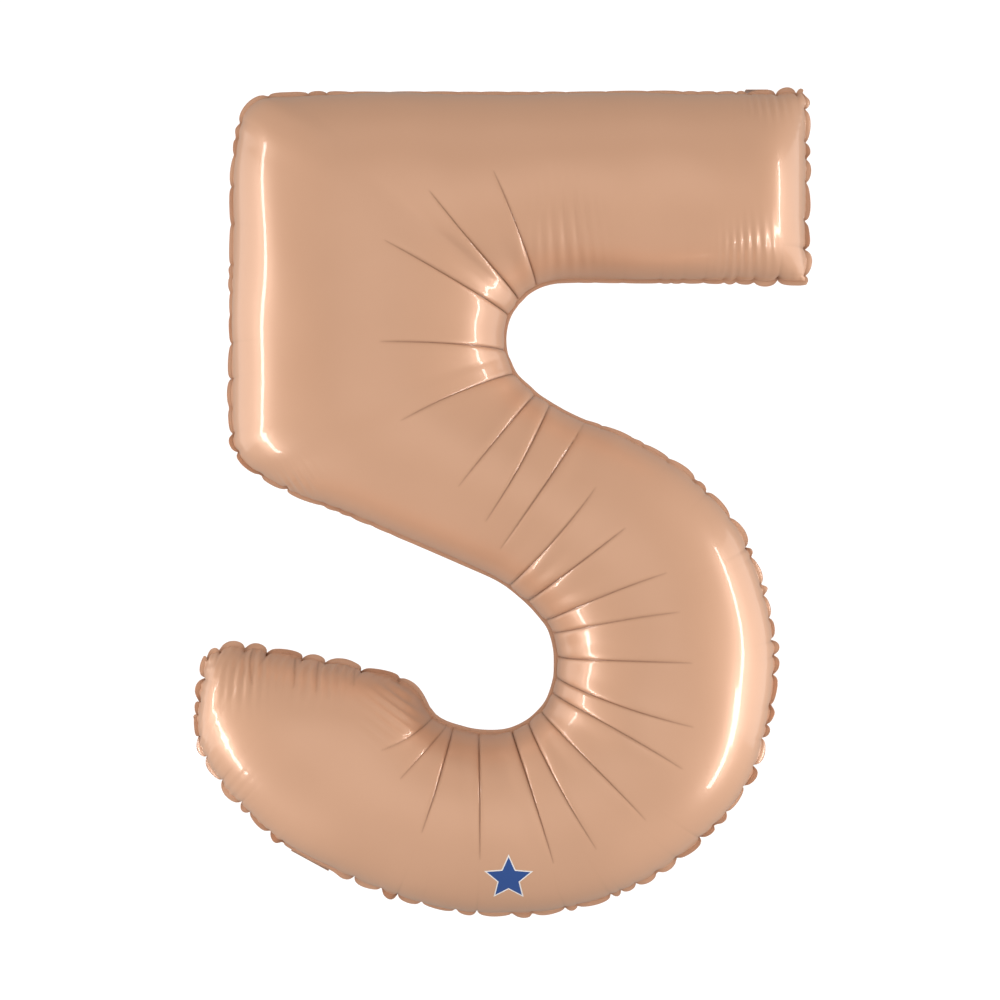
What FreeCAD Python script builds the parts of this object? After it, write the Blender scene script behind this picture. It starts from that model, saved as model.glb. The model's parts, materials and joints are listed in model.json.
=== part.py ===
# A foil number balloon in the shape of a 5, inflated: a front and a back foil panel welded together
# round their edge, a two-film valve inside, the folded inflation tail and two folded hanging tabs.
# The digit stands in the XZ plane and is read from -Y. +X is to the reader's right, +Z is up.
# The origin is at the middle of the top seam, between the two hanging tabs.
import FreeCAD, Part
import Sketcher
import math
import os

from FreeCAD import Placement, Rotation, Vector

doc = FreeCAD.newDocument("NumberBalloon")

# ---------------------------------------------------------------- driving dimensions, mm and degrees
SIZES = {
    "wall": 1.0,                # thickness of one foil panel as a solid
    "seam_margin": 6.0,         # flat welded band outside the gas space
    "closed_gap": 0.05,         # left inside the foil at an end seam
    "valve_width": 26.0,
    "valve_length": 190.0,      # from the seam's outer edge inwards
    "valve_film": 0.4,
    "valve_gap": 0.2,           # between the two films
    "tail_width": 46.0,
    "tail_length": 52.0,
    "port_radius": 5.0,         # the inflation port in the tail's front ply
    "port_from_fold": 36.0,
    "tab_width": 24.0,
    "tab_length": 26.0,
    "tab_hole_radius": 3.0,
    "tab_hole_from_fold": 16.0,
    "ply": 0.6,                 # one foil ply of the tail, or a hanging tab
    "flap_gap": 0.4,            # between a folded flap and the margin that it folds on
    "flap_start": 1.4,          # from the seam plane back to where a folded flap starts
    "flap_corner": 6.0,
}

sheet = doc.addObject("Spreadsheet::Sheet", "Sizes")
for row, (alias, size) in enumerate(SIZES.items(), start=1):
    sheet.set(f"A{row}", alias)
    sheet.set(f"B{row}", str(size))
    sheet.setAlias(f"B{row}", alias)
doc.recompute()


def add_sizes(values):
    """Adds a group of named sizes below those already in the sheet."""
    start = len(SIZES) + 1
    for row, (alias, size) in enumerate(values.items(), start=start):
        SIZES[alias] = size
        sheet.set(f"A{row}", alias)
        sheet.set(f"B{row}", str(size))
        sheet.setAlias(f"B{row}", alias)
    doc.recompute()


# ---------------------------------------------------------------- the gas-filled tube
# The balloon is one tube that is bent into the digit. A rib is the ellipse where the tube is cut
# across: its end on the side of the upper gap (x, z), its end on the other side (x, z) and its
# half depth along Y. Ribs fan round the upright's two square corners. A half depth of 0 marks a
# rib that lies along an end seam.
RIBS = [
    (329, -206, 329, -8, 0),            # the top bar, from its free end
    (319, -206, 319, -7, 44),
    (296, -206, 296, -7, 74),
    (240, -206, 240, -7, 92),
    (150, -206, 150, -6, 94),
    (68, -206, 68, -7, 95),             # the turn round the upper gap
    (46, -210, -28, -7, 97),
    (29, -219, -131, -7, 100),
    (20, -228, -225, -9, 101),
    (17, -231, -259, -13, 101),
    (15, -234, -275, -29, 102),
    (12, -238, -283, -62, 103),
    (6, -251, -288, -155, 105),
    (3, -271, -288, -271, 106),
    (5, -288, -288, -364, 104),
    (6, -291, -285, -386, 103),
    (8, -295, -273, -404, 102),
    (11, -302, -243, -424, 99),
    (18, -313, -160, -459, 97),
    (30, -324, -91, -489, 95),
    (44, -336, -38, -512, 94),          # the diagonal
    (83, -358, 1, -530, 94),
    (134, -377, 26, -549, 95),          # the bowl
    (204, -420, 46, -570, 98),
    (252, -473, 55, -583, 100),
    (282, -542, 61, -604, 102),
    (294, -619, 62, -623, 103),
    (287, -686, 61, -638, 103),
    (262, -753, 54, -660, 101),
    (203, -820, 42, -676, 99),
    (147, -857, 30, -686, 97),
    (83, -881, 13, -694, 94),
    (0, -889, -8, -697, 92),
    (-96, -874, -40, -693, 90),
    (-174, -844, -72, -679, 89),        # the tail limb
    (-231, -813, -97, -646, 87),
    (-278, -772, -146, -630, 86),
    (-304, -741, -208, -618, 77),
    (-318, -718, -262, -608, 60),
    (-324, -699, -299, -607, 42),
    (-326, -680, -317, -616, 0),
]


def rib_sizes(ribs):
    """The named half width and half depth of each rib."""
    values = {}
    for i, (x1, z1, x2, z2, half_depth) in enumerate(ribs):
        values[f"rib_{i}_half_width"] = round(math.hypot(x2 - x1, z2 - z1) / 2, 2)
        values[f"rib_{i}_half_depth"] = half_depth or SIZES["wall"] + SIZES["closed_gap"]
    return values


def size(alias):
    return float(sheet.get(alias))


def ellipse_arc(along, deep, start, end):
    """Part of an ellipse in the XY plane, between two angles in radians."""
    return Part.Arc(Part.Ellipse(Vector(0, 0, 0), along, deep), start, end).toShape()


def segments(points):
    return [Part.LineSegment(a, b).toShape() for a, b in zip(points, points[1:])]


def rib_profile(name, i, side):
    """Half a rib as the outline of one foil panel cut across: a thin arch with the flat seam margin
    at both feet. side is -1 for the front panel and 1 for the back one."""
    wall, margin = size("wall"), size("seam_margin")
    along, deep = size(f"rib_{i}_half_width"), size(f"rib_{i}_half_depth")
    foot = math.asin(wall / deep)
    arch = ellipse_arc(along, deep, math.pi + foot, 2 * math.pi - foot)
    hollow = ellipse_arc(along - wall, deep - wall, math.pi, 2 * math.pi)
    left, right = arch.valueAt(arch.FirstParameter), arch.valueAt(arch.LastParameter)
    rim = along + margin
    left_foot = [Vector(wall - along, 0, 0), Vector(-rim, 0, 0), Vector(-rim, -wall, 0), left]
    right_foot = [right, Vector(rim, -wall, 0), Vector(rim, 0, 0), Vector(along - wall, 0, 0)]
    edges = [hollow, *segments(right_foot[::-1]), arch, *segments(left_foot[::-1])]
    profile = doc.addObject("Part::Feature", f"{name}_rib_{i}")
    profile.Shape = Part.Wire(edges)
    x1, z1, x2, z2, _ = RIBS[i]
    angle = math.degrees(math.atan2(z2 - z1, x2 - x1))
    turn = Rotation(Vector(0, 1, 0), -angle)
    if side > 0:
        turn = turn * Rotation(Vector(1, 0, 0), 180)
    profile.Placement = Placement(Vector((x1 + x2) / 2, 0, (z1 + z2) / 2), turn)
    return profile


def foil_panel(name, side):
    """One foil panel, lofted through its ribs, with the slot where the valve passes the seam."""
    loft = doc.addObject("Part::Loft", f"{name}_loft")
    loft.Sections = [rib_profile(name, i, side) for i in range(len(RIBS))]
    loft.Solid = True
    loft.Ruled = True
    slot = doc.addObject("Part::Box", f"{name}_valve_slot")
    slot.setExpression("Length", "Sizes.valve_width + 2 * Sizes.valve_gap")
    slot.setExpression("Width", "2 * Sizes.valve_film + 3 * Sizes.valve_gap")
    slot.setExpression("Height", "4 * Sizes.seam_margin")
    place(slot, "Sizes.valve_width / 2 + Sizes.valve_gap", "Sizes.valve_film + 1.5 * Sizes.valve_gap",
          "2 * Sizes.seam_margin")
    panel = doc.addObject("Part::Cut", name)
    panel.Base = loft
    panel.Tool = slot
    panel.Label = name
    return panel


# ---------------------------------------------------------------- the valve
# The valve and the tail lie across the lower left seam. Their frame has X along the seam, Y to the
# back and Z pointing into the balloon, with its origin on the seam margin's outer edge.
TAIL_FRAME = Placement(Vector(-205.4, 0, -833.8), Rotation(Vector(0, 1, 0), 28.6))


def size_of(text):
    """The length that an expression on the sheet gives."""
    sheet.set("D1", f"={text.replace('Sizes.', '')}")
    doc.recompute([sheet])
    return float(sheet.get("D1"))


def place(piece, left, front, below):
    """Puts a box in the tail's frame, moved by these lengths towards -X, -Y and -Z there."""
    offsets = [size_of(text) for text in (left, front, below)]
    piece.Placement = TAIL_FRAME * Placement(-Vector(*offsets), Rotation())


def valve_film(name, front):
    """One flat film of the valve, with its near face this far towards the front."""
    film = doc.addObject("Part::Box", name)
    film.setExpression("Length", "Sizes.valve_width")
    film.setExpression("Width", "Sizes.valve_film")
    film.setExpression("Height", "Sizes.valve_length")
    place(film, "Sizes.valve_width / 2", front, "0")
    film.Label = name
    return film


# ---------------------------------------------------------------- the tail and the hanging tabs
# A flap's own frame has X along its fold, Y along its length from the fold to its free end, and Z
# through it. Folded, it lies behind the seam margin and points to the back.
TAB_LEFT_FRAME = Placement(Vector(-222, 0, -4.2), Rotation(Vector(0, 1, 0), 180))
TAB_RIGHT_FRAME = Placement(Vector(278, 0, -1), Rotation(Vector(0, 1, 0), 180))


def origin_plane(body, role):
    return next(f for f in body.Origin.OriginFeatures if f.Role == role)


def rectangle(sketch, width, length):
    """A rectangle that is centred on Y and runs from the X axis to length."""
    corners = [Vector(-1, 0, 0), Vector(1, 0, 0), Vector(1, 1, 0), Vector(-1, 1, 0)]
    for start, end in zip(corners, corners[1:] + corners[:1]):
        sketch.addGeometry(Part.LineSegment(start, end), False)
    for i in range(4):
        sketch.addConstraint(Sketcher.Constraint("Coincident", i, 2, (i + 1) % 4, 1))
    for i, kind in enumerate(("Vertical", "Horizontal", "Vertical"), start=1):
        sketch.addConstraint(Sketcher.Constraint(kind, i))
    sketch.addConstraint(Sketcher.Constraint("Symmetric", 0, 1, 0, 2, -2))
    sketch.addConstraint(Sketcher.Constraint("PointOnObject", 0, 1, -1))
    across = sketch.addConstraint(Sketcher.Constraint("DistanceX", 0, 1, 0, 2, 2))
    along = sketch.addConstraint(Sketcher.Constraint("DistanceY", 1, 1, 1, 2, 1))
    sketch.setExpression(f"Constraints[{across}]", width)
    sketch.setExpression(f"Constraints[{along}]", length)


def hole(sketch, radius, from_fold):
    """A round hole on the flap's middle line."""
    circle = sketch.addGeometry(Part.Circle(Vector(0, 0.5, 0), Vector(0, 0, 1), 0.1), False)
    sketch.addConstraint(Sketcher.Constraint("PointOnObject", circle, 3, -2))
    wide = sketch.addConstraint(Sketcher.Constraint("Radius", circle, 0.1))
    far = sketch.addConstraint(Sketcher.Constraint("DistanceY", -1, 1, circle, 3, 0.5))
    sketch.setExpression(f"Constraints[{wide}]", radius)
    sketch.setExpression(f"Constraints[{far}]", from_fold)


def flap(name, frame, width, length, under, radius=None, from_fold=None):
    """A folded flap with rounded free corners. under is the gap and plies between it and the fold."""
    body = doc.addObject("PartDesign::Body", name)
    sketch = body.newObject("Sketcher::SketchObject", f"{name}_outline")
    sketch.AttachmentSupport = (origin_plane(body, "XY_Plane"), "")
    sketch.MapMode = "FlatFace"
    rectangle(sketch, width, length)
    if radius:
        hole(sketch, radius, from_fold)
    pad = body.newObject("PartDesign::Pad", f"{name}_sheet")
    pad.Profile = sketch
    pad.setExpression("Length", "Sizes.ply")
    doc.recompute()
    free_end = pad.Shape.BoundBox.YMax - 0.1
    corners = [
        f"Edge{i}"
        for i, edge in enumerate(pad.Shape.Edges, start=1)
        if edge.BoundBox.YMin > free_end and edge.BoundBox.ZLength > edge.BoundBox.XLength
    ]
    rounded = body.newObject("PartDesign::Fillet", f"{name}_corners")
    rounded.Base = (pad, corners)
    rounded.setExpression("Radius", "Sizes.flap_corner")
    body.Tip = rounded
    lift = -size_of(under) - size_of("Sizes.ply")
    body.Placement = frame * Placement(Vector(0, size_of("Sizes.flap_start"), lift), Rotation())
    body.Label = name
    return body


# ---------------------------------------------------------------- the pieces
add_sizes(rib_sizes(RIBS))
pieces = [
    foil_panel("front_foil", -1),
    foil_panel("back_foil", 1),
    valve_film("valve_film_front", "Sizes.valve_film + Sizes.valve_gap / 2"),
    valve_film("valve_film_back", "-Sizes.valve_gap / 2"),
    flap("tail_back_ply", TAIL_FRAME, "Sizes.tail_width", "Sizes.tail_length", "Sizes.flap_gap"),
    flap("tail_front_ply", TAIL_FRAME, "Sizes.tail_width", "Sizes.tail_length",
         "Sizes.flap_gap + Sizes.ply", "Sizes.port_radius", "Sizes.port_from_fold"),
    flap("hang_tab_left", TAB_LEFT_FRAME, "Sizes.tab_width", "Sizes.tab_length", "Sizes.flap_gap",
         "Sizes.tab_hole_radius", "Sizes.tab_hole_from_fold"),
    flap("hang_tab_right", TAB_RIGHT_FRAME, "Sizes.tab_width", "Sizes.tab_length", "Sizes.flap_gap",
         "Sizes.tab_hole_radius", "Sizes.tab_hole_from_fold"),
]
doc.recompute()

failed = [o.Name for o in doc.Objects if "Invalid" in o.State or "Error" in o.State]
if failed:
    raise RuntimeError(f"these objects failed: {failed}")
os.makedirs("parts", exist_ok=True)
for piece in pieces:
    shape = piece.Shape
    if shape.isNull() or not shape.isValid() or shape.Volume <= 0:
        raise RuntimeError(f"{piece.Label} has no sound solid")
    shape.exportStep(f"parts/{piece.Label}.step")
    box = shape.BoundBox
    print(f"{piece.Label}: {box.XLength:.1f} x {box.YLength:.1f} x {box.ZLength:.1f} mm, "
          f"{shape.Volume:.0f} mm3, {len(shape.Solids)} solid")
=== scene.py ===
import json
import math
import bpy
import numpy as np
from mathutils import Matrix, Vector
from mathutils.bvhtree import BVHTree
from mathutils.geometry import delaunay_2d_cdt


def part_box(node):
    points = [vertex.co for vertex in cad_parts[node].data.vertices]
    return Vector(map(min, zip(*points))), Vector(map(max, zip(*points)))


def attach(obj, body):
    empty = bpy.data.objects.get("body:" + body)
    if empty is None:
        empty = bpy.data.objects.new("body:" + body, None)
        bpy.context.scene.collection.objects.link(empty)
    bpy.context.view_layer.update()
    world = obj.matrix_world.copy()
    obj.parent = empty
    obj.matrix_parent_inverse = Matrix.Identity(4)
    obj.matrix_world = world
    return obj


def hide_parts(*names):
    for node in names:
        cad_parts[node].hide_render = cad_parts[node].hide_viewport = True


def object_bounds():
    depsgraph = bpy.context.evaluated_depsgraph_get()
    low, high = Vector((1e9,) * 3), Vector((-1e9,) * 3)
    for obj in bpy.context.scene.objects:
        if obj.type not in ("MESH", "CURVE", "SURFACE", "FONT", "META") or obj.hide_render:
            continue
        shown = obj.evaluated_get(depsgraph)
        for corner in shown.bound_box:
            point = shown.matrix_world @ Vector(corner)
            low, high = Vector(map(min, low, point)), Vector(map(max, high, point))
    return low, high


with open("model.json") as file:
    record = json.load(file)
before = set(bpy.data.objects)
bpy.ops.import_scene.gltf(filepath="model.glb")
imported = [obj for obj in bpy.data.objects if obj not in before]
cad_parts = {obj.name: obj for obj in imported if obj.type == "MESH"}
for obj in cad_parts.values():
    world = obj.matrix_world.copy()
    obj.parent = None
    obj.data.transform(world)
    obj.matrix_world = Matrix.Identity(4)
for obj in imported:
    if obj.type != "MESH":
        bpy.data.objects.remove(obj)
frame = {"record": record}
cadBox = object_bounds()

# Foil number balloon. The digit stands in the XZ plane and is read from -Y.
mm = 0.001
jointAt = {joint["name"]: joint for joint in frame["record"]["behaviour"]["joints"]}
print("frame loaded")


def newGroup(name, inputs, outputs):
    group = bpy.data.node_groups.new(name, "ShaderNodeTree")
    for label, kind, value in inputs:
        socket = group.interface.new_socket(label, in_out="INPUT", socket_type=kind)
        socket.default_value = value
    for label, kind in outputs:
        group.interface.new_socket(label, in_out="OUTPUT", socket_type=kind)
    return group, group.nodes.new("NodeGroupInput"), group.nodes.new("NodeGroupOutput")


def math2(tree, operation, first, second):
    # a Math node; each operand is a socket or a number
    node = tree.nodes.new("ShaderNodeMath")
    node.operation = operation
    for socket, value in zip(node.inputs, (first, second)):
        if isinstance(value, (int, float)):
            socket.default_value = value
        else:
            tree.links.new(value, socket)
    return node.outputs[0]


def noise(tree, vector, scale, detail, stretch=None):
    # noise on Object coordinates, drawn out along one axis where stretch is given
    if stretch:
        mapping = tree.nodes.new("ShaderNodeMapping")
        mapping.inputs["Scale"].default_value = stretch
        tree.links.new(vector, mapping.inputs["Vector"])
        vector = mapping.outputs[0]
    node = tree.nodes.new("ShaderNodeTexNoise")
    node.inputs["Detail"].default_value = detail
    tree.links.new(vector, node.inputs["Vector"])
    if isinstance(scale, (int, float)):
        node.inputs["Scale"].default_value = scale
    else:
        tree.links.new(scale, node.inputs["Scale"])
    return node.outputs["Fac"]


def makeFilmSurface():
    # stretched foil: cloudy lacquer, slight orange peel and hair-fine drawing lines
    group, given, result = newGroup(
        "filmSurface",
        [("Vector", "NodeSocketVector", (0, 0, 0)), ("Cloud Scale", "NodeSocketFloat", 9.0),
         ("Peel Scale", "NodeSocketFloat", 160.0), ("Gloss Spread", "NodeSocketFloat", 0.05),
         ("Roughness", "NodeSocketFloat", 0.24)],
        [("Cloud", "NodeSocketFloat"), ("Roughness", "NodeSocketFloat"), ("Height", "NodeSocketFloat")])
    vector = given.outputs["Vector"]
    cloud = noise(group, vector, given.outputs["Cloud Scale"], 3)
    peel = noise(group, vector, given.outputs["Peel Scale"], 2)
    lines = noise(group, vector, 420.0, 2, (1.0, 1.0, 0.06))
    spread = math2(group, "MULTIPLY", math2(group, "SUBTRACT", cloud, 0.5), given.outputs["Gloss Spread"])
    height = math2(group, "ADD", math2(group, "MULTIPLY", peel, 0.7), math2(group, "MULTIPLY", lines, 0.3))
    group.links.new(cloud, result.inputs["Cloud"])
    group.links.new(math2(group, "ADD", given.outputs["Roughness"], spread), result.inputs["Roughness"])
    group.links.new(height, result.inputs["Height"])
    return group


filmSurface = makeFilmSurface()


def withPaintedFoldShade(tree, colour, paintedShade):
    # the colour, going to a dark painted shade in the bottom of a fold or a pucker, as far as the foldShade
    # attribute says
    shade = tree.nodes.new("ShaderNodeAttribute")
    shade.attribute_name = "foldShade"
    mix = tree.nodes.new("ShaderNodeMix")
    mix.data_type = "RGBA"
    tree.links.new(shade.outputs["Fac"], mix.inputs[0])
    tree.links.new(colour, mix.inputs[6])
    mix.inputs[7].default_value = (*paintedShade, 1)
    return mix.outputs[2]


def filmMaterial(name, look):
    # one foil or film finish; look holds its colours and gloss
    material = bpy.data.materials.new(name)
    material.use_nodes = True
    tree = material.node_tree
    shader = tree.nodes["Principled BSDF"]
    shader.inputs["Metallic"].default_value = look["metallic"]
    shader.inputs["Coat Weight"].default_value = look["coat"]
    shader.inputs["Coat Roughness"].default_value = look["coatRoughness"]
    shader.inputs["Transmission Weight"].default_value = look.get("clear", 0.0)
    where = tree.nodes.new("ShaderNodeTexCoord").outputs["Object"]
    surface = tree.nodes.new("ShaderNodeGroup")
    surface.node_tree = filmSurface
    surface.inputs["Cloud Scale"].default_value = look["cloudScale"]
    surface.inputs["Peel Scale"].default_value = look["peelScale"]
    surface.inputs["Gloss Spread"].default_value = look["glossSpread"]
    surface.inputs["Roughness"].default_value = look["roughness"]
    tree.links.new(where, surface.inputs["Vector"])
    mix = tree.nodes.new("ShaderNodeMix")
    mix.data_type = "RGBA"
    mix.inputs[6].default_value = (*look["dark"], 1)
    mix.inputs[7].default_value = (*look["light"], 1)
    tree.links.new(surface.outputs["Cloud"], mix.inputs[0])
    tree.links.new(withPaintedFoldShade(tree, mix.outputs[2], look["fold"]), shader.inputs["Base Color"])
    tree.links.new(surface.outputs["Roughness"], shader.inputs["Roughness"])
    bump = tree.nodes.new("ShaderNodeBump")
    bump.inputs["Strength"].default_value = look["bump"]
    bump.inputs["Distance"].default_value = 0.2 * mm
    tree.links.new(surface.outputs["Height"], bump.inputs["Height"])
    tree.links.new(bump.outputs["Normal"], shader.inputs["Normal"])
    return material


# fold is the colour of the painted shade in the bottom of folds and puckers
foilLook = {
    "dark": (0.610, 0.352, 0.226), "light": (0.665, 0.395, 0.260), "fold": (0.16, 0.060, 0.028),
    "metallic": 0.15, "roughness": 0.34, "glossSpread": 0.05,
    "coat": 0.45, "coatRoughness": 0.045,
    "cloudScale": 7.0, "peelScale": 150.0, "bump": 0.06,
}
# the welded margin is a little darker than the foil: painted shade of the seam band
marginLook = {**foilLook, "dark": (0.55, 0.312, 0.198), "light": (0.62, 0.362, 0.236),
              "roughness": 0.38, "peelScale": 260.0, "bump": 0.20}
edgeLook = {**foilLook, "dark": (0.54, 0.32, 0.21), "light": (0.62, 0.38, 0.26), "metallic": 0.1}
valveLook = {**foilLook, "dark": (0.60, 0.56, 0.52), "light": (0.70, 0.67, 0.63), "metallic": 0.0,
             "roughness": 0.38, "coat": 0.1, "clear": 0.45}
inkLook = {**foilLook, "dark": (0.012, 0.060, 0.250), "light": (0.016, 0.078, 0.300), "metallic": 0.0,
           "roughness": 0.30}
inkEdgeLook = {**foilLook, "dark": (0.78, 0.77, 0.76), "light": (0.86, 0.85, 0.84), "metallic": 0.0,
               "roughness": 0.34}
foilFinish = filmMaterial("nudeFoil", foilLook)
marginFinish = filmMaterial("weldedMargin", marginLook)
edgeFinish = filmMaterial("cutEdge", edgeLook)
valveFinish = filmMaterial("valveFilm", valveLook)
inkFinish = filmMaterial("markInk", inkLook)
inkEdgeFinish = filmMaterial("markEdgeInk", inkEdgeLook)
print("materials made")


def meshObject(name, points, faces, materials):
    mesh = bpy.data.meshes.new(name)
    mesh.from_pydata(np.asarray(points).tolist(), [], np.asarray(faces).tolist())
    mesh.update()
    mesh.shade_smooth()
    for material in materials:
        mesh.materials.append(material)
    piece = bpy.data.objects.new(name, mesh)
    bpy.context.scene.collection.objects.link(piece)
    return piece


def smoothThrough(stations, values, at):
    # a cubic curve through the values, whose slopes come from the neighbours on each side
    widths = np.diff(stations)[:, None]
    rises = np.diff(values, axis=0) / widths
    between = (rises[:-1] * widths[1:] + rises[1:] * widths[:-1]) / (widths[:-1] + widths[1:])
    slopes = np.vstack([rises[:1], between, rises[-1:]])
    i = np.clip(np.searchsorted(stations, at) - 1, 0, len(widths) - 1)
    wide = widths[i]
    u = (at - stations[i])[:, None] / wide
    return ((1 + 2 * u) * (1 - u) ** 2 * values[i] + u * (1 - u) ** 2 * wide * slopes[i]
            + u ** 2 * (3 - 2 * u) * values[i + 1] + u ** 2 * (u - 1) * wide * slopes[i + 1])


def ease(low, high, x):
    u = np.clip((x - low) / (high - low), 0, 1)
    return u * u * (3 - 2 * u)


# The gas-filled tube, bent into the digit.
# A rib is the tube cut across, in mm: its end beside the upper gap (x, z), its other end (x, z), its
# half depth, and how strongly the seam puckers at the first and the second end.
tubeRibs = [
    (329, -206, 329, -8, 0, 1, 1), (319, -206, 319, -7, 44, 0.8, 1),
    (296, -206, 296, -7, 74, 0.9, 0.9), (240, -206, 240, -7, 92, 0.3, 0.3),
    (150, -206, 150, -6, 94, 0.1, 0.12), (68, -206, 68, -7, 95, 0.05, 0.12),
    (46, -210, -28, -7, 97, 0, 0.12), (29, -219, -131, -7, 100, 0, 0.15),
    (20, -228, -225, -9, 101, 0, 0.6), (17, -231, -259, -13, 101, 0, 0.8),
    (15, -234, -275, -29, 102, 0, 0.8), (12, -238, -283, -62, 103, 0, 0.5),
    (6, -251, -288, -155, 105, 0, 0.35), (3, -271, -288, -271, 106, 0, 0.4),
    (5, -288, -288, -364, 104, 0, 0.6), (6, -291, -285, -386, 103, 0, 0.9),
    (8, -295, -273, -404, 102, 0, 1), (11, -302, -243, -424, 99, 0, 0.9),
    (18, -313, -160, -459, 97, 0, 0.25), (30, -324, -91, -489, 95, 0, 0),
    (44, -336, -38, -512, 94, 0, 0), (83, -358, 1, -530, 94, 0.05, 0),
    (134, -377, 26, -549, 95, 0.25, 0), (204, -420, 46, -570, 98, 0.6, 0),
    (252, -473, 55, -583, 100, 0.9, 0), (282, -542, 61, -604, 102, 1, 0),
    (294, -619, 62, -623, 103, 1, 0), (287, -686, 61, -638, 103, 1, 0),
    (262, -753, 54, -660, 101, 1, 0), (203, -820, 42, -676, 99, 1, 0),
    (147, -857, 30, -686, 97, 0.9, 0), (83, -881, 13, -694, 94, 0.8, 0),
    (0, -889, -8, -697, 92, 0.8, 0), (-96, -874, -40, -693, 90, 0.9, 0),
    (-174, -844, -72, -679, 89, 1, 0), (-231, -813, -97, -646, 87, 1, 0.5),
    (-278, -772, -146, -630, 86, 1, 1), (-304, -741, -208, -618, 77, 1, 1),
    (-318, -718, -262, -608, 60, 1, 1), (-324, -699, -299, -607, 42, 1, 1),
    (-326, -680, -317, -616, 0, 1, 1),
]
# Folds that fan out from the two concave turns, in mm: where each starts near the seam (x, z) and
# where it fades out on the tube (x, z).
foldLines = [
    (37, -208, -7, -101), (17, -225, -74, -122), (-1, -240, -121, -174), (-6, -283, -125, -280),
    (9, -311, -103, -362), (32, -337, -43, -430), (44, -364, -15, -467), (66, -401, 0, -497),
    (19, -528, 100, -431), (41, -545, 131, -473), (59, -568, 174, -520), (64, -586, 186, -561),
    (71, -612, 200, -614), (72, -640, 201, -681), (69, -658, 190, -725), (53, -680, 152, -779),
    (35, -694, 100, -808), (16, -704, 56, -825), (-23, -712, -21, -820), (-54, -703, -82, -793),
    (-70, -697, -105, -737), (-79, -683, -125, -707), (-267, -603, -262, -639),
    (-223, -605, -218, -643), (-197, -610, -194, -648), (-157, -620, -155, -643),
]
# Patches of fine pleats, in mm: middle (x, z), reach along and across the pleats, lean in degrees,
# spacing and height.
pleatPatches = [
    (73, -158, 36, 30, -6, 11, 0.8), (264, -180, 24, 26, -8, 9, 0.8),
    (-112, -664, 24, 30, -55, 10, 1.1), (-218, -425, 20, 24, -30, 9, 0.8),
    (-268, -625, 24, 24, 0, 9, 1.0), (-190, -632, 22, 26, 0, 10, 1.0), (284, -24, 18, 26, 0, 9, 0.8),
]
foilSizes = {
    "columns": 1500,            # along the tube
    "rows": 110,                # across one panel
    "marginRings": 5,
    "margin": 6.0 * mm,         # welded band outside the gas space
    "ply": 0.3 * mm,
    "foldDepth": 3.0 * mm, "foldWidth": 1.5 * mm, "foldRidge": 1.3 * mm,
    "notchPull": 4.6 * mm,      # how far a pucker draws the seam in
    "lobeReach": 1.8 * mm,      # how far the film swells out between two puckers
    "notchDepth": 2.2 * mm, "puckerSwell": 2.2 * mm,
    "notchWidth": 1.8 * mm, "pullFade": 9 * mm, "swellFade": 11 * mm, "rippleFade": 26 * mm,
    "leanFade": 10 * mm,        # each fade is how far an effect reaches in from the seam
    "endColumns": 12,           # columns that give the tube's heading at its ends
    "ripple": 0.8 * mm, "rippleSpacing": 9.5 * mm, "rippleFrom": 34,
    "seamWave": 1.6 * mm,
    "dent": 0.9 * mm,           # slow unevenness of the whole tube
    "tailReach": 34 * mm,       # the seam lies flat this far to each side of the tail
    "tailMargin": 4.4 * mm,
    "seed": 5,
}
ribs = np.array(tubeRibs, float)
ribs[:, :4] *= mm
ribs[:, 4] = (ribs[:, 4] * mm) ** 2      # a squared depth closes the two ends roundly
steps = (np.linalg.norm(np.diff(ribs[:, :2], axis=0), axis=1)
         + np.linalg.norm(np.diff(ribs[:, 2:4], axis=0), axis=1)) / 2
stations = np.concatenate([[0], np.cumsum(steps)])


def placeColumns():
    # stations of the mesh columns, closer together where a fold crosses the tube
    length = stations[-1]
    fine = np.linspace(0, length, 4000)
    tube = smoothThrough(stations, ribs, fine)
    need = np.ones(len(fine))
    for x0, z0, x1, z1 in foldLines:
        for part in (0.1, 0.5, 0.9):
            spot = np.array([x0 + part * (x1 - x0), z0 + part * (z1 - z0)]) * mm
            near, across = tube[:, :2], tube[:, 2:4] - tube[:, :2]
            along = np.clip(np.sum((spot - near) * across, axis=1) / np.sum(across ** 2, axis=1), 0, 1)
            apart = np.linalg.norm(near + along[:, None] * across - spot, axis=1)
            need += 1.6 * np.exp(-((fine - fine[apart.argmin()]) / 0.005) ** 2)
    ends = np.minimum(fine, length - fine)
    need += 3 * np.exp(-ends / 0.006)
    total = np.concatenate([[0], np.cumsum((need[1:] + need[:-1]) / 2)])
    return np.interp(np.linspace(0, total[-1], foilSizes["columns"] + 1), total, fine)


def arcAlong(points):
    return np.concatenate([[0], np.cumsum(np.linalg.norm(np.diff(points, axis=0), axis=1))])


def puckersOn(length, shortest, longest, rng):
    # where the seam is drawn in, as distances along it, and how far each pucker runs into the film
    cuts = [-longest]
    while cuts[-1] < length + longest:
        cuts.append(cuts[-1] + rng.uniform(shortest, longest))
    count = len(cuts)
    return (np.array(cuts), rng.uniform(5 * mm, 30 * mm, count), rng.uniform(-1, 1, count),
            rng.uniform(0.55, 1.25, count), rng.uniform(0.4, 1.25, count))


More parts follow.
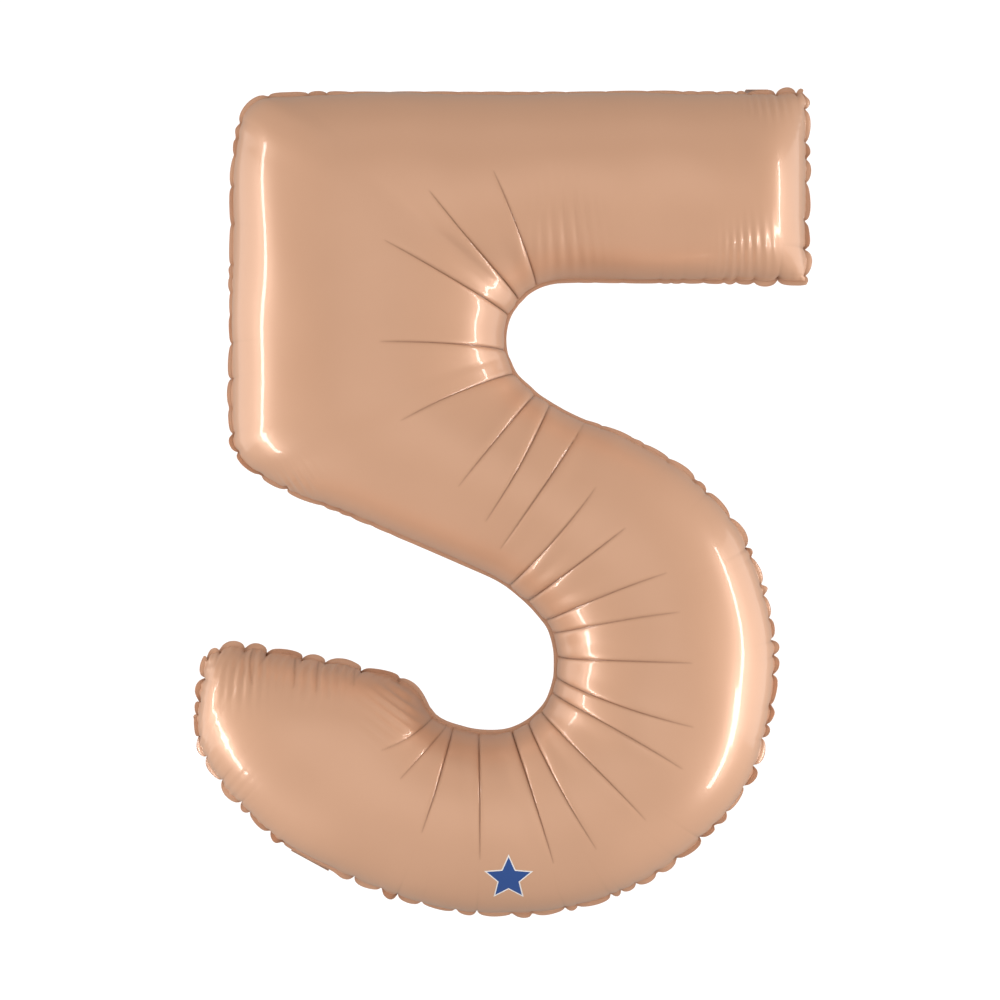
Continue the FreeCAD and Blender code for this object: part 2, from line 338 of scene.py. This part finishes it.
def readPuckers(puckers, at):
    # at each distance: closeness to a notch, swell between notches, run of the notch, lean of the lobe
    cuts, runs, leans, sizes, depths = puckers
    i = np.clip(np.searchsorted(cuts, at) - 1, 0, len(cuts) - 2)
    before, after = at - cuts[i], cuts[i + 1] - at
    nearest = np.where(before < after, i, i + 1)
    notch = depths[nearest] * np.exp(-np.minimum(before, after) / foilSizes["notchWidth"])
    skew = (before / (before + after)) ** (1 + 0.45 * leans[i])
    swell = sizes[i] * np.sin(np.pi * skew) ** 0.7
    wave = np.cos(at * 2 * np.pi / foilSizes["rippleSpacing"] + 4 * leans[i])
    return notch, swell, runs[nearest], leans[i] * swell, wave * swell


tailAt = np.array(jointAt["tail_fold"]["pos_m"])[[0, 2]]


def besideTail(points):
    # 1 where the seam carries the tail, 0 elsewhere
    return np.exp(-(np.linalg.norm(points - tailAt, axis=1) / foilSizes["tailReach"]) ** 6)


columns = placeColumns()
tube = smoothThrough(stations, ribs, columns)
nearEdge, farEdge = tube[:, :2], tube[:, 2:4]
halfDepth = np.sqrt(np.maximum(tube[:, 4], 0))
halfDepth[[0, -1]] = 0
halfWidth = np.linalg.norm(farEdge - nearEdge, axis=1) / 2
turn = np.linspace(-math.pi / 2, math.pi / 2, foilSizes["rows"] + 1)
across = np.sin(turn)
flat = (nearEdge[:, None] * (1 - across)[None, :, None] + farEdge[:, None] * (1 + across)[None, :, None]) / 2
arch = halfDepth[:, None] * np.cos(turn)[None, :] ** 0.94
arch[:, [0, -1]] = 0
grid = np.stack([flat[..., 0], -arch, flat[..., 1]], axis=-1)

seamRng = np.random.default_rng(foilSizes["seed"])
nearArc, farArc = arcAlong(nearEdge), arcAlong(farEdge)
startArc, endArc = across * halfWidth[0], across * halfWidth[-1]
puckers = {
    "near": puckersOn(nearArc[-1], 11 * mm, 40 * mm, seamRng),
    "far": puckersOn(farArc[-1], 11 * mm, 46 * mm, seamRng),
    "start": puckersOn(0.3, 14 * mm, 46 * mm, seamRng),
    "end": puckersOn(0.3, 12 * mm, 36 * mm, seamRng),
}
nearStrength = np.interp(columns, stations, ribs[:, 5]) * (1 - besideTail(nearEdge))
farStrength = np.interp(columns, stations, ribs[:, 6])
reach = (halfWidth + halfDepth) / 2
fromNear = (turn + math.pi / 2)[None, :] * reach[:, None]
fromFar = (math.pi / 2 - turn)[None, :] * reach[:, None]
middle = arcAlong(grid[:, foilSizes["rows"] // 2])
fromStart = np.repeat(middle[:, None], len(turn), axis=1)
fromEnd = middle[-1] - fromStart
fromSeam = np.minimum(np.minimum(fromNear, fromFar), np.minimum(fromStart, fromEnd))
seams = [
    (readPuckers(puckers["near"], nearArc), nearStrength, fromNear, True),
    (readPuckers(puckers["far"], farArc), farStrength, fromFar, True),
    (readPuckers(puckers["start"], startArc + 0.15), np.ones(len(turn)), fromStart, False),
    (readPuckers(puckers["end"], endArc + 0.15), np.ones(len(turn)), fromEnd, False),
]


def inwardFrom(which):
    # unit vectors in the XZ plane that point into the tube from each seam
    if which < 2:
        inward = (farEdge - nearEdge) * (1, -1)[which]
        inward /= np.linalg.norm(inward, axis=1)[:, None]
        return np.repeat(inward[:, None], len(turn), axis=1)
    n = foilSizes["endColumns"]
    ahead = (flat[n] - flat[0]) if which == 2 else (flat[-1 - n] - flat[-1])
    ahead /= np.linalg.norm(ahead, axis=1)[:, None]
    return np.repeat(ahead[None], len(columns), axis=0)


def foldHeight(x, z, rng):
    # the fan of folds: a sharp valley with a rounded ridge on each side, and the painted shade of each
    # valley, darkest along its bottom
    height, shade = np.zeros_like(x), np.zeros_like(x)
    for x0, z0, x1, z1 in foldLines:
        start = np.array([x0, z0]) * mm + rng.normal(0, 0.8 * mm, 2)
        run = np.array([x1, z1]) * mm - start
        length = np.linalg.norm(run)
        run /= length
        u = ((x - start[0]) * run[0] + (z - start[1]) * run[1]) / length
        bow = rng.uniform(-3, 3) * mm
        off = (x - start[0]) * run[1] - (z - start[1]) * run[0] - bow * 4 * u * (1 - u)
        strength = ease(-0.45, 0.02, u) * np.clip(1 - u, 0, 1) ** 0.55 * min(1, length / 0.09)
        strength = strength * rng.uniform(0.8, 1.1)
        side = rng.choice([-1, 1])
        valley = foilSizes["foldDepth"] * np.exp(-np.abs(off) / foilSizes["foldWidth"])
        ridge = foilSizes["foldRidge"] * (np.exp(-((off * side - 7 * mm) / (8 * mm)) ** 2)
                                          + 0.5 * np.exp(-((off * side + 10 * mm) / (10 * mm)) ** 2))
        height += strength * (ridge - valley)
        # painted shade along the bottom of the valley
        shade = np.maximum(shade, strength ** 0.6 * np.exp(-np.abs(off) / (0.7 * mm)))
    return height, shade


def pleatHeight(x, z, rng):
    height = np.zeros_like(x)
    for cx, cz, long, wide, lean, spacing, size in pleatPatches:
        angle = math.radians(lean)
        along = (x - cx * mm) * math.sin(angle) + (z - cz * mm) * math.cos(angle)
        side = (x - cx * mm) * math.cos(angle) - (z - cz * mm) * math.sin(angle)
        side = side * (1 + along * 2.2)
        wave = np.cos(side * 2 * math.pi / (spacing * mm) + 1.3 * np.sin(side * 70 + rng.uniform(0, 6)))
        patch = np.exp(-(along / (long * mm)) ** 2 - (side / (wide * mm)) ** 2)
        height += size * mm * patch * wave
    return height


def dentHeight(x, z, rng):
    height = np.zeros_like(x)
    for _ in range(9):
        heading = rng.uniform(0, math.pi)
        wave = (x * math.cos(heading) + z * math.sin(heading)) * 2 * math.pi / rng.uniform(0.07, 0.24)
        height += np.sin(wave + rng.uniform(0, 6)) / 3
    return foilSizes["dent"] * height


def panelGrid(side, seed):
    # one panel's points: the plain tube, then its folds, pleats, dents and puckered seam; and the painted
    # shade of its folds and puckers
    rng = np.random.default_rng(seed)
    down = np.gradient(grid, axis=0)
    over = np.gradient(grid, axis=1)
    outward = np.cross(over, down)
    outward /= np.maximum(np.linalg.norm(outward, axis=2), 1e-12)[..., None]
    outward *= np.sign(-outward[len(columns) // 2, len(turn) // 2, 1])
    x, z = grid[..., 0], grid[..., 2]
    height, shade = foldHeight(x, z, rng)
    height = (height + pleatHeight(x, z, rng) + dentHeight(x, z, rng)) * ease(0, 12 * mm, fromSeam)
    shade *= ease(0, 6 * mm, fromSeam)
    points = grid.copy()
    tail = np.interp(columns, stations, np.arange(len(ribs)) - foilSizes["rippleFrom"])
    rippled = np.maximum(np.clip(tail, 0, 1)[:, None], np.exp(-fromStart / (60 * mm)))
    for which, (read, strength, away, alongTube) in enumerate(seams):
        notch, swell, run, lean, wave, strength = (
            (v[:, None] if alongTube else v[None, :]) for v in (*read, strength))
        height += strength * (
            foilSizes["puckerSwell"] * swell * np.exp(-away / foilSizes["swellFade"])
            + foilSizes["ripple"] * rippled * wave * np.exp(-away / foilSizes["rippleFade"])
            - foilSizes["notchDepth"] * notch * np.exp(-away / run)) * ease(0, 4 * mm, fromSeam)
        # painted shade in the notch of each pucker, running in from the seam
        shade = np.maximum(shade, 0.9 * strength * notch ** 1.6 * np.exp(-away / run))
        pull = strength * np.exp(-away / foilSizes["pullFade"]) * (
            foilSizes["notchPull"] * notch - foilSizes["lobeReach"] * swell)
        inward = inwardFrom(which)
        points[..., 0] += pull * inward[..., 0]
        points[..., 2] += pull * inward[..., 1]
        sway = foilSizes["seamWave"] * strength * lean * np.exp(-away / foilSizes["leanFade"])
        points[..., 1] -= side * sway
    points += outward * height[..., None]
    points[..., 1] *= -side
    return points, shade


def outerLoop(count, rows):
    # grid index of each point on the seam, going once round
    loop = [(i, 0) for i in range(count)]
    loop += [(count - 1, j) for j in range(1, rows)]
    loop += [(i, rows - 1) for i in range(count - 2, -1, -1)]
    loop += [(0, j) for j in range(rows - 2, 0, -1)]
    return np.array(loop)


def loopStrength():
    # strength, swell and lean of the puckers at each point of the seam
    near, far, start, end = (np.stack([*read, strength]) for read, strength, _, _ in seams)
    notch, swell, _, lean, _, strength = np.hstack([near, end[:, 1:], far[:, -2::-1], start[:, -2:0:-1]])
    return strength, np.minimum(swell, 1.2), lean, notch


def smoothRound(values, times):
    for _ in range(times):
        values = (np.roll(values, 1, axis=0) + 2 * values + np.roll(values, -1, axis=0)) / 4
    return values


def facing(points, faces, side):
    # the faces, turned so that they look towards side along Y
    corners = points[faces]
    normal = np.cross(corners[:, 1] - corners[:, 0], corners[:, 2] - corners[:, 0])
    return faces if normal[:, 1].sum() * side > 0 else faces[:, ::-1]


def foilPanel(name, side, seed):
    # side is -1 for the front panel and 1 for the back one
    points, shade = panelGrid(side, seed)
    count, rows = points.shape[:2]
    index = np.arange(count * rows).reshape(count, rows)
    corners = [index[:-1, :-1], index[1:, :-1], index[1:, 1:], index[:-1, 1:]]
    quads = np.stack(corners, axis=-1).reshape(-1, 4)
    loop = outerLoop(count, rows)
    seam = points[loop[:, 0], loop[:, 1]]
    ring = index[loop[:, 0], loop[:, 1]]
    base = smoothRound(flat[loop[:, 0], loop[:, 1]], 6)
    heading = np.roll(base, -2, axis=0) - np.roll(base, 2, axis=0)
    outward = np.stack([heading[:, 1], -heading[:, 0]], axis=1)
    area = np.sum(base[:, 0] * np.roll(base[:, 1], -1) - np.roll(base[:, 0], -1) * base[:, 1])
    outward *= np.sign(area) / np.maximum(np.linalg.norm(outward, axis=1), 1e-9)[:, None]
    outward = smoothRound(outward, 4)
    outward /= np.linalg.norm(outward, axis=1)[:, None]
    strength, swell, lean, notch = loopStrength()
    width = foilSizes["margin"] * (0.6 + 0.4 * strength) * (1 - 0.5 * strength * (1 - swell))
    calm = besideTail(seam[:, [0, 2]])
    width = width * (1 - calm) + foilSizes["tailMargin"] * calm
    allPoints, allFaces, shades = [points.reshape(-1, 3)], [quads], [shade.ravel()]
    marginFrom = len(quads)
    previous, start = ring, count * rows
    for r in range(1, foilSizes["marginRings"] + 1):
        part = r / foilSizes["marginRings"]
        outer = seam.copy()
        outer[:, 0] += outward[:, 0] * width * part
        outer[:, 2] += outward[:, 1] * width * part
        outer[:, 1] += 2.0 * foilSizes["seamWave"] * strength * lean * part ** 1.5
        if part < 1:
            outer[:, 1] += side * foilSizes["ply"]
        current = start + np.arange(len(loop))
        allFaces.append(np.stack([previous, np.roll(previous, -1), np.roll(current, -1), current], axis=1))
        allPoints.append(outer)
        # painted shade in the notches between the margin's lobes
        shades.append(0.85 * strength * notch ** 0.7)
        previous, start = current, start + len(loop)
    faces = np.vstack(allFaces)
    points = np.vstack(allPoints)
    faces[:marginFrom] = facing(points, faces[:marginFrom], side)
    faces[marginFrom:] = facing(points, faces[marginFrom:], side)
    piece = meshObject(name, points, faces, [foilFinish, marginFinish])
    slots = np.zeros(len(faces), np.int32)
    slots[marginFrom:] = 1
    piece.data.polygons.foreach_set("material_index", slots)
    # the painted shade of folds and puckers, which the foil's material mixes in
    attribute = piece.data.attributes.new("foldShade", "FLOAT", "POINT")
    attribute.data.foreach_set("value", np.concatenate(shades).astype(np.float32))
    return piece, points[-len(loop):]


frontFoil, rim = foilPanel("frontFoil", -1, 11)
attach(frontFoil, "balloon")
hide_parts("front_foil")
backFoil, _ = foilPanel("backFoil", 1, 12)
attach(backFoil, "balloon")
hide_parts("back_foil")
print("foil panels made:", len(frontFoil.data.polygons), "faces each")


# The cut edge of the two plies, swept round the seam.
edgeSizes = {"radius": 0.4 * mm, "spacing": 2.2 * mm, "sides": 6}


def edgeTree():
    tree = bpy.data.node_groups.new("cutEdgeSweep", "GeometryNodeTree")
    tree.interface.new_socket("Geometry", in_out="INPUT", socket_type="NodeSocketGeometry")
    tree.interface.new_socket("Radius", in_out="INPUT", socket_type="NodeSocketFloat")
    tree.interface.new_socket("Spacing", in_out="INPUT", socket_type="NodeSocketFloat")
    tree.interface.new_socket("Sides", in_out="INPUT", socket_type="NodeSocketInt")
    tree.interface.new_socket("Finish", in_out="INPUT", socket_type="NodeSocketMaterial")
    tree.interface.new_socket("Geometry", in_out="OUTPUT", socket_type="NodeSocketGeometry")
    given, result = tree.nodes.new("NodeGroupInput"), tree.nodes.new("NodeGroupOutput")
    toCurve = tree.nodes.new("GeometryNodeMeshToCurve")
    resample = tree.nodes.new("GeometryNodeResampleCurve")
    resample.mode = "LENGTH"
    circle = tree.nodes.new("GeometryNodeCurvePrimitiveCircle")
    sweep = tree.nodes.new("GeometryNodeCurveToMesh")
    smooth = tree.nodes.new("GeometryNodeSetShadeSmooth")
    realize = tree.nodes.new("GeometryNodeRealizeInstances")
    finish = tree.nodes.new("GeometryNodeSetMaterial")
    link = tree.links.new
    link(given.outputs["Geometry"], toCurve.inputs["Mesh"])
    link(toCurve.outputs["Curve"], resample.inputs["Curve"])
    link(given.outputs["Spacing"], resample.inputs["Length"])
    link(given.outputs["Sides"], circle.inputs["Resolution"])
    link(given.outputs["Radius"], circle.inputs["Radius"])
    link(resample.outputs["Curve"], sweep.inputs["Curve"])
    link(circle.outputs["Curve"], sweep.inputs["Profile Curve"])
    link(sweep.outputs["Mesh"], smooth.inputs["Geometry"])
    link(smooth.outputs["Geometry"], realize.inputs["Geometry"])
    link(realize.outputs["Geometry"], finish.inputs["Geometry"])
    link(given.outputs["Finish"], finish.inputs["Material"])
    link(finish.outputs["Geometry"], result.inputs["Geometry"])
    return tree


def runNodes(piece, tree, values):
    # sets the named inputs, evaluates once and keeps the result as a plain mesh
    modifier = piece.modifiers.new("nodes", "NODES")
    modifier.node_group = tree
    for item in tree.interface.items_tree:
        if item.in_out == "INPUT" and item.name in values:
            modifier[item.identifier] = values[item.name]
    bpy.context.view_layer.update()
    made = bpy.data.meshes.new_from_object(piece.evaluated_get(bpy.context.evaluated_depsgraph_get()))
    piece.modifiers.remove(modifier)
    piece.data = made
    made.name = piece.name
    return piece


def makeCutEdge():
    count = len(rim)
    mesh = bpy.data.meshes.new("cutEdge")
    mesh.from_pydata(rim.tolist(), [(i, (i + 1) % count) for i in range(count)], [])
    piece = bpy.data.objects.new("cutEdge", mesh)
    bpy.context.scene.collection.objects.link(piece)
    values = {"Radius": edgeSizes["radius"], "Spacing": edgeSizes["spacing"],
              "Sides": edgeSizes["sides"], "Finish": edgeFinish}
    return runNodes(piece, edgeTree(), values)


cutEdge = makeCutEdge()
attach(cutEdge, "balloon")
print("cut edge made:", len(cutEdge.data.polygons), "faces")


def roundedOutline(width, length, radius, corners):
    # a rectangle from y = 0 to length, centred on x, with the named corners rounded
    points = []
    for name, cx, cy, start in (("foldRight", 1, 0, -90), ("endRight", 1, 1, 0),
                                ("endLeft", -1, 1, 90), ("foldLeft", -1, 0, 180)):
        x, y = cx * width / 2, cy * length
        if name not in corners:
            points.append((x, y))
            continue
        x -= cx * radius
        y -= (2 * cy - 1) * radius
        for step in range(9):
            angle = math.radians(start + step * 90 / 8)
            points.append((x + radius * math.cos(angle), y + radius * math.sin(angle)))
    return points


def divided(outline, spacing):
    # the outline with its long sides cut into short ones
    points = []
    for (x0, y0), (x1, y1) in zip(outline, outline[1:] + outline[:1]):
        parts = max(1, round(math.hypot(x1 - x0, y1 - y0) / spacing))
        points += [(x0 + (x1 - x0) * i / parts, y0 + (y1 - y0) * i / parts) for i in range(parts)]
    return points


def insideOf(outline, points):
    inside = np.zeros(len(points), bool)
    for (x0, y0), (x1, y1) in zip(outline, outline[1:] + outline[:1]):
        if y0 == y1:
            continue
        crosses = (y0 > points[:, 1]) != (y1 > points[:, 1])
        inside ^= crosses & (points[:, 0] < (x1 - x0) * (points[:, 1] - y0) / (y1 - y0) + x0)
    return inside


def filmSheet(outline, spacing, hole=None):
    # triangles that fill an outline, around a round hole where one is given, and its boundary loops
    loops = [divided(outline, spacing)]
    if hole:
        cx, cy, radius = hole
        loops.append([(cx + radius * math.cos(a), cy + radius * math.sin(a))
                      for a in np.linspace(0, 2 * math.pi, 24, endpoint=False)])
    box = np.array(loops[0])
    xs, ys = np.meshgrid(np.arange(box[:, 0].min(), box[:, 0].max(), spacing) + spacing / 2,
                         np.arange(box[:, 1].min(), box[:, 1].max(), spacing) + spacing / 2)
    inner = np.stack([xs.ravel(), ys.ravel()], axis=1)
    inner = inner[insideOf(loops[0], inner)]
    rimPoints = np.vstack([np.array(loop) for loop in loops])
    clear = np.array([np.linalg.norm(rimPoints - p, axis=1).min() > 0.6 * spacing for p in inner])
    inner = inner[clear]
    if hole:
        inner = inner[np.linalg.norm(inner - (cx, cy), axis=1) > radius]
    points = np.vstack([rimPoints, inner])
    edges, start = [], 0
    for loop in loops:
        edges += [(start + i, start + (i + 1) % len(loop)) for i in range(len(loop))]
        start += len(loop)
    result = delaunay_2d_cdt([Vector(p) for p in points], edges, [], 0, 1e-9)
    triangles = np.array(result[2])
    middles = points[triangles].mean(axis=1)
    keep = insideOf(loops[0], middles)
    if hole:
        keep &= np.linalg.norm(middles - (cx, cy), axis=1) > radius * 0.98
    triangles = triangles[keep]
    corner = points[triangles]
    turnOf = ((corner[:, 1, 0] - corner[:, 0, 0]) * (corner[:, 2, 1] - corner[:, 0, 1])
              - (corner[:, 1, 1] - corner[:, 0, 1]) * (corner[:, 2, 0] - corner[:, 0, 0]))
    triangles[turnOf < 0] = triangles[turnOf < 0][:, ::-1]
    return points, triangles, edges


def thickSheet(points, triangles, edges, lift, ply, place):
    # a closed sheet of the given ply; lift bends it and place puts (x, y, z) into the frame
    bend = lift(points[:, 0], points[:, 1])
    top = np.column_stack([points, bend + ply / 2])
    bottom = np.column_stack([points, bend - ply / 2])
    count = len(points)
    faces = [tuple(t) for t in triangles] + [tuple(t[::-1] + count) for t in triangles]
    sides = {(a, b) for t in triangles for a, b in ((t[0], t[1]), (t[1], t[2]), (t[2], t[0]))}
    for a, b in edges:
        if (a, b) not in sides:
            a, b = b, a
        faces.append((b, a, a + count, b + count))
    return place(np.vstack([top, bottom])), faces


def makeSheet(name, points, faces, material):
    mesh = bpy.data.meshes.new(name)
    mesh.from_pydata(points.tolist(), [], [[int(i) for i in f] for f in faces])
    mesh.update()
    mesh.shade_smooth()
    mesh.set_sharp_from_angle(angle=math.radians(50))
    mesh.materials.append(material)
    piece = bpy.data.objects.new(name, mesh)
    bpy.context.scene.collection.objects.link(piece)
    return piece


flaps = {
    "tailBackPly": {"node": "tail_back_ply", "body": "tail", "fold": "tail_fold", "width": 46 * mm,
                    "corner": 6 * mm, "hole": None, "curl": 1.4 * mm, "wave": 0.5 * mm},
    "tailFrontPly": {"node": "tail_front_ply", "body": "tail", "fold": "tail_fold", "width": 46 * mm,
                     "corner": 6 * mm, "hole": (36 * mm, 5 * mm), "curl": 1.9 * mm, "wave": 0.5 * mm},
    "hangTabLeft": {"node": "hang_tab_left", "body": "tab_left", "fold": "tab_left_fold",
                    "width": 24 * mm, "corner": 6 * mm, "hole": (16 * mm, 3 * mm), "curl": 2.2 * mm,
                    "wave": 0.4 * mm},
    "hangTabRight": {"node": "hang_tab_right", "body": "tab_right", "fold": "tab_right_fold",
                     "width": 24 * mm, "corner": 6 * mm, "hole": (16 * mm, 3 * mm), "curl": 0.8 * mm,
                     "wave": 0.4 * mm},
}
flapPly = 0.3 * mm


def makeFlap(name, made):
    low, high = (np.array(corner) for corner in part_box(made["node"]))
    centre = (low + high) / 2
    along = np.array(jointAt[made["fold"]]["axis"], float)
    along /= np.linalg.norm(along)
    back = np.array([0.0, 1.0, 0.0])
    up = np.cross(along, back)
    if np.dot(up, centre - np.array([0, 0, -0.45])) < 0:
        up, along = -up, -along
    length = high[1] - low[1]
    origin = centre - back * length / 2
    hole = (0, made["hole"][0], made["hole"][1]) if made["hole"] else None
    outline = roundedOutline(made["width"], length, made["corner"], ("endRight", "endLeft"))

    def lift(x, y):
        u = y / length
        return made["curl"] * u ** 2 + made["wave"] * u * np.sin(x * 2 * math.pi / made["width"] + 0.6)

    def place(p):
        return origin + p[:, :1] * along + p[:, 1:2] * back + p[:, 2:] * up

    points, faces = thickSheet(*filmSheet(outline, 2 * mm, hole), lift, flapPly, place)
    if np.dot(np.cross(along, back), up) < 0:
        faces = [face[::-1] for face in faces]
    piece = makeSheet(name, points, faces, foilFinish)
    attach(piece, made["body"])
    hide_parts(made["node"])


for flapName, flapMade in flaps.items():
    makeFlap(flapName, flapMade)
print("tail and hanging tabs made")

valve = {"width": 26 * mm, "length": 182 * mm, "ply": 0.16 * mm, "swell": 0.5 * mm, "corner": 3 * mm}


def makeValveFilm(name, node, side):
    # a long flat strip from the seam into the balloon, slightly swollen along its middle
    low, high = (np.array(corner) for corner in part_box(node))
    centre = (low + high) / 2
    along = np.array(jointAt["tail_fold"]["axis"], float)
    along /= np.linalg.norm(along)
    inward = np.array([-along[2], 0, along[0]])
    if inward[2] < 0:
        inward = -inward
    origin = centre - inward * valve["length"] / 2
    facing = np.array([0.0, side, 0.0])
    outline = roundedOutline(valve["width"], valve["length"], valve["corner"], ("endRight", "endLeft"))

    def lift(x, y):
        taper = np.sin(np.clip(y / valve["length"], 0, 1) * math.pi) ** 0.5
        return valve["swell"] * taper * np.cos(x * math.pi / valve["width"]) ** 2

    def place(p):
        return origin + p[:, :1] * along + p[:, 1:2] * inward + p[:, 2:] * facing

    points, faces = thickSheet(*filmSheet(outline, 3 * mm), lift, valve["ply"], place)
    if np.dot(np.cross(along, inward), facing) < 0:
        faces = [face[::-1] for face in faces]
    piece = makeSheet(name, points, faces, valveFinish)
    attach(piece, "balloon")
    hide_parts(node)


makeValveFilm("valveFilmFront", "valve_film_front", -1)
makeValveFilm("valveFilmBack", "valve_film_back", 1)
print("valve films made")

mark = {"x": 9 * mm, "z": -841 * mm, "radius": 27 * mm, "inner": 0.46, "edge": 3.2 * mm,
        "lift": 0.15 * mm, "ply": 0.08 * mm}


def makeMark(name, radius, lift, material):
    # a five-pointed star that lies on the front panel
    outline = [(radius * (1 if i % 2 == 0 else mark["inner"]) * math.sin(i * math.pi / 5),
                radius * (1 if i % 2 == 0 else mark["inner"]) * math.cos(i * math.pi / 5))
               for i in range(10)][::-1]
    points, triangles, edges = filmSheet(outline, 1.6 * mm)
    surface = BVHTree.FromPolygons([v.co for v in frontFoil.data.vertices],
                                   [list(p.vertices) for p in frontFoil.data.polygons])

    def place(p):
        placed = []
        for x, z, up in p:
            spot, normal, _, _ = surface.ray_cast(Vector((mark["x"] + x, -0.3, mark["z"] + z)),
                                                  Vector((0, 1, 0)))
            placed.append(spot + normal * (lift + up))
        return np.array(placed)

    points, faces = thickSheet(points, triangles, edges, lambda x, y: 0 * x, mark["ply"], place)
    piece = makeSheet(name, points, faces, material)
    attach(piece, "balloon")


makeMark("markEdge", mark["radius"], mark["lift"], inkEdgeFinish)
makeMark("markStar", mark["radius"] - mark["edge"], mark["lift"] + 2 * mark["ply"], inkFinish)
print("mark made")


stageSizes = {
    "floorDrop": 0.55, "floorReach": 6.0, "wallAway": 2.6, "bend": 0.8, "glow": 1.0,
    "view": 1.0817, "lens": 85.0, "lookAt": (0.0, 0.0, -0.4445),
    "air": (1, 0.88, 0.78), "airGlow": 0.36,
}


def makeStage():
    # a pale floor that bends up into a pale wall
    low = cadBox[0][2] - stageSizes["floorDrop"]
    side, bend = stageSizes["floorReach"], stageSizes["bend"]
    profile = [(-side, low)]
    for step in range(13):
        angle = math.radians(-90 + step * 90 / 12)
        profile.append((stageSizes["wallAway"] - bend + bend * math.cos(angle),
                        low + bend + bend * math.sin(angle)))
    profile.append((stageSizes["wallAway"], low + 5))
    points = [(x, y, z) for y, z in profile for x in (-side, side)]
    faces = [(2 * i, 2 * i + 1, 2 * i + 3, 2 * i + 2) for i in range(len(profile) - 1)]
    material = bpy.data.materials.new("paleStage")
    material.use_nodes = True
    shader = material.node_tree.nodes["Principled BSDF"]
    shader.inputs["Base Color"].default_value = (0.12, 0.12, 0.12, 1)
    shader.inputs["Roughness"].default_value = 0.9
    shader.inputs["Specular IOR Level"].default_value = 0.0
    shader.inputs["Emission Color"].default_value = (1, 1, 1, 1)
    shader.inputs["Emission Strength"].default_value = stageSizes["glow"]
    floor = meshObject("floor", points, faces, [material])
    floor.visible_glossy = False
    floor.visible_diffuse = False


lamps = {
    "frontFill": {"at": (0.0, -3.4, -0.1), "size": (2.6, 2.6), "power": 46, "gloss": False},
    "sideLeft": {"at": (-2.2, 0.55, -0.4), "size": (1.7, 2.0), "power": 9, "gloss": True},
    "sideRight": {"at": (2.2, 0.55, -0.4), "size": (1.7, 2.0), "power": 10, "gloss": True},
    "stripLeft": {"at": (-2.0, -0.42, -0.4), "size": (0.12, 2.0), "power": 15, "gloss": True},
    "stripRight": {"at": (2.0, -0.42, -0.45), "size": (0.12, 2.0), "power": 16, "gloss": True},
    "topFill": {"at": (0.0, -1.6, 2.4), "size": (2.6, 1.6), "power": 22, "gloss": False},
    "lowFill": {"at": (0.0, -0.8, -1.41), "size": (2.6, 0.9), "power": 4, "gloss": False},
    "cornerRight": {"at": (1.25, -0.36, -1.1), "size": (0.10, 0.8), "power": 5, "gloss": True, "tilt": 42},
    "cornerLeft": {"at": (-1.3, -0.36, -1.1), "size": (0.10, 0.8), "power": 5, "gloss": True, "tilt": 40},
}


def makeLamp(name, made):
    light = bpy.data.lights.new(name, "AREA")
    light.shape = "RECTANGLE"
    light.size, light.size_y = made["size"]
    light.energy = made["power"]
    lamp = bpy.data.objects.new(name, light)
    lamp.location = made["at"]
    aim = Vector(stageSizes["lookAt"]) - lamp.location
    if made["gloss"]:
        # the side lamps stand upright, or look up by their tilt
        aim.z = math.hypot(aim.x, aim.y) * math.tan(math.radians(made.get("tilt", 0)))
    lamp.rotation_euler = aim.to_track_quat("-Z", "Y").to_euler()
    lamp.visible_glossy = made["gloss"]
    bpy.context.scene.collection.objects.link(lamp)


def makeCamera():
    camera = bpy.data.cameras.new("camera")
    camera.lens = stageSizes["lens"]
    eye = bpy.data.objects.new("camera", camera)
    look = Vector(stageSizes["lookAt"])
    away = stageSizes["view"] / 2 / math.tan(camera.angle / 2)
    eye.location = look + Vector((0, -away, 0))
    eye.rotation_euler = (look - eye.location).to_track_quat("-Z", "Y").to_euler()
    bpy.context.scene.collection.objects.link(eye)
    bpy.context.scene.camera = eye


makeStage()
for lampName, lampMade in lamps.items():
    makeLamp(lampName, lampMade)
makeCamera()
world = bpy.data.worlds.new("studio")
bpy.context.scene.world = world
world.use_nodes = True
world.node_tree.nodes["Background"].inputs["Color"].default_value = (*stageSizes["air"], 1)
world.node_tree.nodes["Background"].inputs["Strength"].default_value = stageSizes["airGlow"]
bpy.context.scene.view_settings.view_transform = "Standard"
print("stage, lights and camera made")
